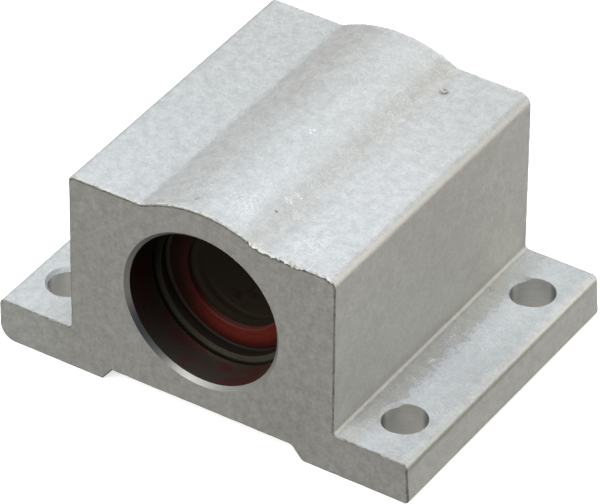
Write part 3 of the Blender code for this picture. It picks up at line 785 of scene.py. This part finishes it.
def cut_away(obj, *cutters):
    """The object less the cutters, whose materials stay on the cut faces. The cutters are removed."""
    for cutter in cutters:
        modifier = obj.modifiers.new(cutter.name, "BOOLEAN")
        modifier.operation = "DIFFERENCE"
        modifier.solver = "EXACT"
        modifier.material_mode = "TRANSFER"
        modifier.object = cutter
    result = baked(obj)
    for cutter in cutters:
        bpy.data.objects.remove(cutter, do_unlink=True)
    return result


def stand_in(obj, body, node):
    """The piece moves with the body and shows in place of the node."""
    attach(obj, body)
    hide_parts(node)


# ---- pillow block


def ridge_foot(side, fillet):
    """Tangent arc between the flat shoulder and the ridge; side is +1 for right, -1 for left."""
    rise = SHOULDER_HEIGHT + fillet - RIDGE_CENTRE_HEIGHT
    spread = math.sqrt((RIDGE_RADIUS + fillet) ** 2 - rise ** 2)
    centre = (side * spread, SHOULDER_HEIGHT + fillet)
    meeting = math.atan2(-rise, -side * spread)
    if side < 0:
        return arc(centre, fillet, meeting, -math.pi / 2, LEFT_FOOT_STEPS)
    return arc(centre, fillet, -math.pi / 2, meeting, OUTLINE_STEPS)


def block_outline():
    foot = RELIEF_HALF_WIDTH + RELIEF_RUNOUT
    right_foot = ridge_foot(1, RIDGE_FOOT_FILLET_RIGHT)
    left_foot = ridge_foot(-1, RIDGE_FOOT_FILLET_LEFT)
    ridge_start = math.atan2(right_foot[-1][1] - RIDGE_CENTRE_HEIGHT, right_foot[-1][0])
    ridge_end = math.atan2(left_foot[0][1] - RIDGE_CENTRE_HEIGHT, left_foot[0][0])
    ridge = arc((0, RIDGE_CENTRE_HEIGHT), RIDGE_RADIUS, ridge_start, ridge_end, RIDGE_STEPS)
    corners = [
        (foot, 0, RELIEF_ROUND),
        (HALF_WIDTH, 0, FLANGE_BOTTOM_ROUND_RIGHT),
        (HALF_WIDTH - RIGHT_SIDE_LEAN, FLANGE_THICKNESS, FLANGE_TOP_ROUND),
        (BODY_HALF_WIDTH, FLANGE_THICKNESS, FLANGE_ROOT_FILLET),
        (BODY_HALF_WIDTH, SHOULDER_HEIGHT, SHOULDER_ROUND_RIGHT),
    ]
    corners += sharp(right_foot + ridge[1:-1] + left_foot)
    corners += [
        (-BODY_HALF_WIDTH, SHOULDER_HEIGHT, SHOULDER_ROUND_LEFT),
        (-BODY_HALF_WIDTH, FLANGE_THICKNESS, FLANGE_ROOT_FILLET),
        (-HALF_WIDTH, FLANGE_THICKNESS, FLANGE_TOP_ROUND),
        (-HALF_WIDTH, 0, FLANGE_BOTTOM_ROUND_LEFT),
        (-foot, 0, 0),
        (-RELIEF_HALF_WIDTH, RELIEF_DEPTH, 0),
        (RELIEF_HALF_WIDTH, RELIEF_DEPTH, RELIEF_ROUND),
    ]
    return evened(rounded(corners, OUTLINE_STEPS))


def end_edge(x, z, end_sign):
    """(inset, depth) steps from the end face to the skin: a small uneven round, or a burr on top."""

    def uneven(size):
        """Noise from about -1 to 1, with bumps of about that size."""
        return NOISE_GAIN * noise.noise(Vector((x / size, z / size, END_NOISE_OFFSET * end_sign)))

    worn = 0.6 * uneven(COARSE_WEAR) + 0.4 * uneven(FINE_WEAR)
    radius = END_EDGE_ROUND + END_EDGE_WEAR * worn
    if z < BURRED_ABOVE:
        steps = []
        for step in range(END_EDGE_STEPS + 1):
            angle = step / END_EDGE_STEPS * math.pi / 2
            steps.append((radius * (1 - math.sin(angle)), radius * (1 - math.cos(angle))))
        return steps
    peak = BURR_PEAK * math.exp(-((x / MM - BURR_PEAK_X) / BURR_PEAK_SPREAD) ** 2)
    rough_here = REAR_BURR if end_sign > 0 else FRONT_BURR + peak
    patchy = rough_here * max(0.25, 0.7 + 0.8 * uneven(BURR_PATCH))
    torn = max(0.15, 0.45 + 1.3 * uneven(BURR_TEAR))
    jagged = 0.6 * uneven(BURR_JAG) + 0.9 * torn * uneven(BURR_TOOTH)
    lip = BURR_HEIGHT * patchy * abs(uneven(BURR_LIP))
    sag = BURR_WIDTH * patchy * jagged
    return [
        (BURR_WIDTH + 0.5 * max(0.0, sag), 0.0),
        (0.5 * BURR_WIDTH + 0.6 * sag, -0.3 * lip),
        (0.22 * BURR_WIDTH + 0.5 * sag, -lip),
        (max(-0.03 * MM, -0.15 * sag), 0.2 * radius),
        (0.0, 1.3 * radius + abs(sag)),
    ]


def block_solid(*finishes):
    """The extrusion, its end edges broken or burred; finishes for skin, ends, edges and burr, the edges'
    finish painted shade and the burr's a painted highlight.
    """
    outline = block_outline()
    normals = outward_normals(outline)
    count = len(outline)
    mesh = bmesh.new()
    rings = []
    for end_sign in (-1, 1):
        rows = [end_edge(x, z, end_sign) for x, z in outline]
        end_rings = []
        for step in range(len(rows[0])):
            ring = []
            for (x, z), normal, row in zip(outline, normals, rows):
                inset, depth = row[step]
                along = end_sign * (HALF_LENGTH - depth)
                ring.append(mesh.verts.new((x - normal.x * inset, along, z - normal.y * inset)))
            end_rings.append(ring)
        rings += end_rings if end_sign < 0 else reversed(end_rings)
    for first, second in zip(rings, rings[1:]):
        on_skin = first[0].co.y * second[0].co.y < 0
        next_to_end = rings[0] is first or rings[-1] is second
        for index in range(count):
            after = (index + 1) % count
            face = mesh.faces.new((first[index], first[after], second[after], second[index]))
            burred = first[index].co.z > BURRED_ABOVE and not next_to_end
            # Broken edges, and the strip beside the end face under a burr, take the painted shade; the burr
            # takes the painted highlight
            face.material_index = 0 if on_skin else 3 if burred else 2
    for ring in (rings[0], rings[-1]):
        mesh.faces.new(ring).material_index = 1
    bmesh.ops.recalc_face_normals(mesh, faces=mesh.faces)
    return built("pillow_block", mesh, *finishes)


def seat_cutter(*finishes):
    """The bore, its ring grooves and chamfered mouths; finishes for bore, mouths and grooves."""
    ring_low, ring_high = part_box("rear_retaining_ring")
    groove_outside = ring_high.y + GROOVE_SIDE_PLAY
    groove_inside = ring_low.y - GROOVE_SIDE_PLAY
    profile = mirrored_ends([
        (0, HALF_LENGTH + PAST_FACE),
        (SEAT_RADIUS + MOUTH_CHAMFER + PAST_FACE, HALF_LENGTH + PAST_FACE),
        (SEAT_RADIUS, HALF_LENGTH - MOUTH_CHAMFER),
        (SEAT_RADIUS, groove_outside),
        (GROOVE_RADIUS, groove_outside),
        (GROOVE_RADIUS, groove_inside),
        (SEAT_RADIUS, groove_inside),
    ])
    cutter = turned_in_bore("seat_cutter", profile, False, BORE_STEPS, *finishes)
    for face in cutter.data.polygons:
        along = abs(face.center.y)
        if along > HALF_LENGTH - MOUTH_CHAMFER:
            face.material_index = 1
        elif groove_inside - GROOVE_MARGIN < along < groove_outside + GROOVE_MARGIN:
            face.material_index = 2
    return cutter


def chamfer_wear(angle, side):
    """Share of the full chamfer at an angle in plan; on the right it falls slowly and rises fast."""
    if side < 0:
        return LEFT_MOUTH_WEAR + LEFT_MOUTH_SWING * math.sin(3 * angle)
    past = (math.degrees(angle) - MOUTH_WEAR_FROM) % 360
    share = 1 - (360 - past) / MOUTH_WEAR_RISE
    if share < 0:
        share = max(0.0, 1 - past / MOUTH_WEAR_RUN) ** MOUTH_WEAR_POWER
    return LEAST_MOUTH_WEAR + (1 - LEAST_MOUTH_WEAR) * share


def bolt_hole_cutter(side, end_sign, hole_finish, mouth_finish):
    chamfer_foot = FLANGE_THICKNESS - BOLT_HOLE_CHAMFER
    radius = BOLT_HOLE_RADIUS_LEFT if side < 0 else BOLT_HOLE_RADIUS_RIGHT
    profile = [
        (0, FLANGE_THICKNESS + PAST_FACE),
        (radius + BOLT_HOLE_CHAMFER + PAST_FACE, FLANGE_THICKNESS + PAST_FACE),
        (radius, chamfer_foot),
        (radius, -PAST_FACE),
        (0, -PAST_FACE),
    ]
    cutter = baked(turned("bolt_hole", profile, False, HOLE_STEPS, hole_finish, mouth_finish))
    for face in cutter.data.polygons:
        if face.center.z > chamfer_foot:
            face.material_index = 1
    for vertex in cutter.data.vertices:
        place = vertex.co
        shrink = BOLT_HOLE_CHAMFER * (1 - chamfer_wear(math.atan2(place.y, place.x), side))
        if place.z > FLANGE_THICKNESS and place.xy.length > radius:
            place.xy *= 1 - shrink / place.xy.length
        elif place.z > 0 and place.xy.length > radius / 2:
            place.z += shrink
    cutter.location = (side * BOLT_X, end_sign * BOLT_Y, 0)
    return cutter


def make_block():
    hole, hole_mouth = drilled_hole(), plain("hole_chamfer")
    cutters = [seat_cutter(machined_bore(), machined_chamfer(), plain("groove_in_painted_shade"))]
    for side in (-1, 1):
        cutters += [bolt_hole_cutter(side, end_sign, hole, hole_mouth) for end_sign in (-1, 1)]
    block = block_solid(aluminium_skin(), aluminium_end(), plain("painted_edge_shade"), plain("burr_painted_highlight"))
    block = shade(cut_away(block, *cutters))
    stand_in(block, "housing", "housing")


# ---- retaining rings


def ring_outline(gap_at):
    """An open ring, thinner towards its gap, with an inward lug at each side of the gap."""
    start = gap_at + RING_HALF_GAP
    end = gap_at + 2 * math.pi - RING_HALF_GAP
    outer_radius = RING_OUTER_RADIUS - RING_EDGE_ROUND
    outer = arc((0, 0), outer_radius, start, end, RING_OUTER_STEPS)
    inner_start = end - LUG_ANGLE
    inner_end = start + LUG_ANGLE
    inner = []
    for step in range(RING_INNER_STEPS + 1):
        angle = inner_start + (inner_end - inner_start) * step / RING_INNER_STEPS
        radius = RING_INNER_RADIUS + RING_TAPER * (1 + math.cos(angle - gap_at)) / 2 + RING_EDGE_ROUND
        inner.append((radius * math.cos(angle), radius * math.sin(angle)))
    corners = sharp(outer)
    for lug_start, lug_end, after in ((end, inner_start, inner), (inner_end, start, [])):
        first, *middle, last = arc((0, 0), LUG_INNER_RADIUS + RING_EDGE_ROUND, lug_start, lug_end, LUG_STEPS)
        corners += [(*first, LUG_CORNER_ROUND), *sharp(middle), (*last, LUG_CORNER_ROUND), *sharp(after)]
    return rounded(corners, LUG_STEPS)


def lug_hole(gap_at, side):
    radius = (LUG_INNER_RADIUS + RING_INNER_RADIUS + RING_TAPER) / 2 + LUG_HOLE_OUTWARD
    angle = gap_at + side * (RING_HALF_GAP + LUG_ANGLE / 2)
    centre = (radius * math.cos(angle), radius * math.sin(angle))
    return arc(centre, LUG_HOLE_RADIUS + RING_EDGE_ROUND, 0, 2 * math.pi, LUG_HOLE_STEPS)[:-1]


def make_retaining_ring(end_name, finish):
    """The stamped ring, its edges rounded by the curve's bevel."""
    node = f"{end_name}_retaining_ring"
    low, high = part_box(node)
    gap_at = RING_GAP_AT[end_name]
    outlines = [ring_outline(gap_at), lug_hole(gap_at, -1), lug_hole(gap_at, 1)]
    curve = flat_curve(node, outlines)
    curve.dimensions = "2D"
    curve.fill_mode = "BOTH"
    curve.extrude = (high.y - low.y) / 2 - RING_EDGE_ROUND
    curve.bevel_depth = RING_EDGE_ROUND
    curve.bevel_resolution = RING_BEVEL_STEPS
    ring = new_object(f"{end_name}_circlip", curve)
    ring.rotation_euler = (math.pi / 2, 0, 0)
    ring.location = (0, (low.y + high.y) / 2, BORE_HEIGHT)
    ring = baked(ring)
    ring.data.materials.append(finish)
    stand_in(shade(ring, RING_SHARP_DEGREES), "housing", node)


# ---- bushing


def circuit_places():
    """For each circuit: its frame (X across from loaded to return row, Y along, Z out) and sizes."""
    joints = {joint["name"]: joint for joint in frame["joints"]}
    along = Vector((0, 1, 0))
    places = []
    for number in range(1, CIRCUITS + 1):
        front, rear = joints[f"front_turning_{number}"], joints[f"rear_turning_{number}"]
        front_centre, rear_centre = Vector(front["pos_m"]), Vector(rear["pos_m"])
        outward = Vector(rear["axis"]).normalized()
        across = along.cross(outward)
        place = Matrix((across, along, outward)).transposed().to_4x4()
        place.translation = (front_centre + rear_centre) / 2
        low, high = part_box(f"return_balls_{number}")
        row = (low + high) / 2
        row.y = 0
        turn_radius = (row - place.translation).dot(across)
        places.append((number, place, turn_radius, (rear_centre - front_centre).length))
    return places


def racetrack(turn_radius, straight, offset):
    """The closed path of a circuit's balls, or one that far outside it."""
    radius = turn_radius + offset
    rear = arc((0, straight / 2), radius, 0, math.pi, TRACK_TURN_STEPS)
    front = arc((0, -straight / 2), radius, math.pi, 2 * math.pi, TRACK_TURN_STEPS)
    return rear + front


def mended(obj, distance):
    """The object with points within the distance joined, no faces of no area, and all facing out."""
    work = bmesh.new()
    work.from_mesh(obj.data)
    bmesh.ops.remove_doubles(work, verts=work.verts, dist=distance)
    bmesh.ops.dissolve_degenerate(work, edges=work.edges, dist=distance)
    bmesh.ops.recalc_face_normals(work, faces=work.faces)
    work.to_mesh(obj.data)
    work.free()
    return obj


def circuit_cutter(name, curve, place):
    cutter = new_object(name, curve)
    cutter.matrix_world = place
    return mended(baked(cutter), WELD_DISTANCE)


def track_cutter(number, place, turn_radius, straight):
    """The round channel that a circuit's balls run in."""
    curve = flat_curve("track_path", [racetrack(turn_radius, straight, 0)])
    curve.dimensions = "3D"
    curve.bevel_depth = BALL_RADIUS + TRACK_CLEARANCE
    curve.bevel_resolution = TRACK_BEVEL_STEPS
    return circuit_cutter(f"track_{number}", curve, place)


def slot_cutter(number, place, turn_radius, straight):
    """The slot above a channel, open outwards."""
    half_width = BALL_RADIUS + SLOT_CLEARANCE
    outlines = [racetrack(turn_radius, straight, half_width), racetrack(turn_radius, straight, -half_width)]
    curve = flat_curve("slot_path", outlines)
    curve.dimensions = "2D"
    curve.fill_mode = "BOTH"
    curve.extrude = SLOT_HEIGHT / 2
    lifted = place @ Matrix.Translation((0, 0, SLOT_FLOOR_RISE + SLOT_HEIGHT / 2))
    return circuit_cutter(f"slot_{number}", curve, lifted)


def make_sleeve(circuits):
    end = SLEEVE_HALF_LENGTH
    shoulder = end - COUNTERBORE_DEPTH
    outer = [
        (COUNTERBORE_RADIUS + SLEEVE_EDGE, end),
        (SLEEVE_RADIUS - SLEEVE_CHAMFER - SLEEVE_EDGE, end),
        (SLEEVE_RADIUS - SLEEVE_CHAMFER + SLEEVE_EDGE / 2, end - SLEEVE_EDGE / 2),
        (SLEEVE_RADIUS - SLEEVE_EDGE / 2, end - SLEEVE_CHAMFER + SLEEVE_EDGE / 2),
        (SLEEVE_RADIUS, end - SLEEVE_CHAMFER - SLEEVE_EDGE),
    ]
    inner = [
        (COUNTERBORE_RADIUS, end - SLEEVE_EDGE),
        (COUNTERBORE_RADIUS, shoulder),
        (SLEEVE_BORE_RADIUS, shoulder),
    ]
    sleeve = turned_in_bore("sleeve", tube_profile(outer, inner), True, TURNED_STEPS, ground_steel_in_painted_shade())
    sleeve = cut_away(sleeve, *[track_cutter(*circuit) for circuit in circuits])
    stand_in(shade(sleeve), "bushing", "outer_sleeve")


def make_retainer(circuits):
    end = RETAINER_HALF_LENGTH
    outer = [(RETAINER_RADIUS - RETAINER_EDGE, end), (RETAINER_RADIUS, end - RETAINER_EDGE)]
    inner = [(RETAINER_INNER_RADIUS + RETAINER_EDGE, end), (RETAINER_INNER_RADIUS, end - RETAINER_EDGE)]
    profile = tube_profile(outer, inner)
    retainer = turned_in_bore("retainer", profile, True, TURNED_STEPS, plain("dark_polymer_in_painted_shade"))
    cutters = [track_cutter(*circuit) for circuit in circuits]
    cutters += [slot_cutter(*circuit) for circuit in circuits]
    retainer = mended(cut_away(retainer, *cutters), SLIVER)
    stand_in(shade(retainer), "bushing", "ball_retainer")


def end_piece(end_name, kind, finish, inner_side, edge):
    """A turned ring in a counterbore: inner_side(inside, outside) gives its (radius, depth) points."""
    node = f"{end_name}_{kind}"
    low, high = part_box(node)
    end_sign = 1 if low.y > 0 else -1
    inside, outside = sorted((abs(low.y), abs(high.y)))
    radius = high.x
    outer_side = [
        (radius - edge, outside),
        (radius, outside - edge),
        (radius, inside + edge),
        (radius - edge, inside),
    ]
    profile = outer_side + list(reversed(inner_side(inside, outside)))
    if end_sign < 0:
        profile = [(r, -along) for r, along in reversed(profile)]
    ring = turned_in_bore(node + "_fine", profile, True, TURNED_STEPS, finish)
    stand_in(shade(ring, RING_SHARP_DEGREES), "bushing", node)


def end_ring_side(inside, outside):
    return [(END_RING_INNER_RADIUS, outside), (END_RING_INNER_RADIUS, inside)]


def wiper_side(inside, outside):
    """The web thins to a lip that just clears the shaft."""
    return [
        (WIPER_WEB_RADIUS, outside),
        (WIPER_WEB_RADIUS - WIPER_WEB_BEVEL, outside - WIPER_WEB_BEVEL / 2),
        (WIPER_LIP_RADIUS + WIPER_LIP_EDGE, inside + 1.6 * WIPER_LIP_THICKNESS),
        (WIPER_LIP_RADIUS, inside + 1.4 * WIPER_LIP_THICKNESS),
        (WIPER_LIP_RADIUS, inside + 0.6 * WIPER_LIP_THICKNESS),
        (WIPER_LIP_RADIUS + WIPER_LIP_EDGE, inside + 0.4 * WIPER_LIP_THICKNESS),
        (WIPER_LIP_RADIUS + WIPER_LIP_THICKNESS, inside),
    ]


def seal_side(inside, outside):
    centre = (SEAL_INNER_RADIUS + SEAL_EDGE_ROUND, outside - SEAL_EDGE_ROUND)
    round_edge = arc(centre, SEAL_EDGE_ROUND, math.pi / 2, math.pi, SEAL_ROUND_STEPS)
    return round_edge + [(SEAL_INNER_RADIUS, inside)]


def make_end_stacks():
    steel, rubber, red = plain("stamped_steel_in_painted_shade"), plain("black_rubber_in_painted_shade"), red_seal()
    for end_name in ("front", "rear"):
        end_piece(end_name, "end_ring", steel, end_ring_side, END_RING_EDGE)
        end_piece(end_name, "wiper", rubber, wiper_side, END_RING_EDGE)
        end_piece(end_name, "seal_ring", red, seal_side, SEAL_RIM_EDGE)


def ball_group(name, place, centres, finish, body, node):
    """Loose balls of one moving group, in one mesh."""
    work = bmesh.new()
    for x, y in centres:
        spot = place @ Matrix.Translation((x, y, 0))
        bmesh.ops.create_icosphere(work, subdivisions=BALL_SUBDIVISIONS, radius=BALL_RADIUS, matrix=spot)
    balls = built(name, work, finish)
    balls.data.shade_smooth()
    stand_in(balls, body, node)


def make_balls(circuits):
    finish = polished_steel_in_painted_shade()
    for number, place, turn_radius, straight in circuits:
        pitch = straight / BALLS_PER_ROW
        for row, side in (("loaded", -1), ("return", 1)):
            along = [((BALLS_PER_ROW - 1) / 2 - ball) * pitch for ball in range(BALLS_PER_ROW)]
            centres = [(side * turn_radius, y) for y in along]
            ball_group(f"{row}_ball_row_{number}", place, centres, finish,
                       f"{row}_row_{number}", f"{row}_balls_{number}")
        for end, end_sign in (("front", -1), ("rear", 1)):
            middle = end_sign * straight / 2
            angles = [end_sign * (ball + 0.5) * math.pi / BALLS_PER_TURN for ball in range(BALLS_PER_TURN)]
            centres = [(turn_radius * math.cos(a), middle + turn_radius * math.sin(a)) for a in angles]
            ball_group(f"{end}_ball_turn_{number}", place, centres, finish,
                       f"{end}_turn_{number}", f"{end}_turn_balls_{number}")


# ---- stage


def make_floor():
    bpy.ops.mesh.primitive_plane_add(size=FLOOR_SIZE, location=(0, 0, -FLOOR_DROP))
    floor = bpy.context.object
    floor.name = "floor"
    floor.data.materials.append(pale_floor())
    floor.visible_diffuse = floor.visible_glossy = False


def towards(azimuth, elevation, distance):
    """The point at that distance from the origin; azimuth 0 is in front and 90 degrees to the right."""
    turn, rise = math.radians(azimuth), math.radians(elevation)
    level = math.cos(rise)
    return Vector((math.sin(turn) * level, -math.cos(turn) * level, math.sin(rise))) * distance


def make_lights():
    for name, (azimuth, elevation, distance, aim_height, size, power, color) in LIGHTS.items():
        data = bpy.data.lights.new(name, "AREA")
        data.shape = "DISK"
        data.size = size
        data.energy = power
        data.color = color
        light = new_object(name, data)
        light.location = towards(azimuth, elevation, distance)
        aim = Vector((0, 0, aim_height)) - light.location
        light.rotation_euler = aim.to_track_quat("-Z", "Y").to_euler()
    world = bpy.data.worlds.new("studio")
    bpy.context.scene.world = world
    world.use_nodes = True
    tree = world.node_tree
    direction = tree.nodes.new("ShaderNodeTexCoord")
    split = tree.nodes.new("ShaderNodeSeparateXYZ")
    tree.links.new(direction.outputs["Generated"], split.inputs[0])
    height = tree.nodes.new("ShaderNodeMapRange")
    for index, value in enumerate((-SURROUND_BLEND, SURROUND_BLEND, SURROUND_BELOW, SURROUND_ABOVE), 1):
        height.inputs[index].default_value = value
    tree.links.new(split.outputs[2], height.inputs[0])
    background = tree.nodes["Background"]
    background.inputs["Color"].default_value = SURROUND_COLOR
    tree.links.new(height.outputs[0], background.inputs["Strength"])


def make_camera():
    back = towards(CAMERA_AZIMUTH, CAMERA_ELEVATION, 1.0)
    data = bpy.data.cameras.new("camera")
    data.lens = CAMERA_LENS
    camera = new_object("camera", data)
    turn = back.to_track_quat("Z", "Y") @ Matrix.Rotation(CAMERA_ROLL, 4, "Z").to_quaternion()
    camera.rotation_mode = "QUATERNION"
    camera.rotation_quaternion = turn
    camera.location = CAMERA_AIM + back * CAMERA_DISTANCE
    bpy.context.scene.camera = camera


bpy.context.scene.view_settings.view_transform = "Standard"
make_camera()
make_lights()
make_floor()
make_block()
clip_finish = phosphated_steel()
make_retaining_ring("front", clip_finish)
make_retaining_ring("rear", clip_finish)
circuits = circuit_places()
make_sleeve(circuits)
make_retainer(circuits)
make_end_stacks()
make_balls(circuits)
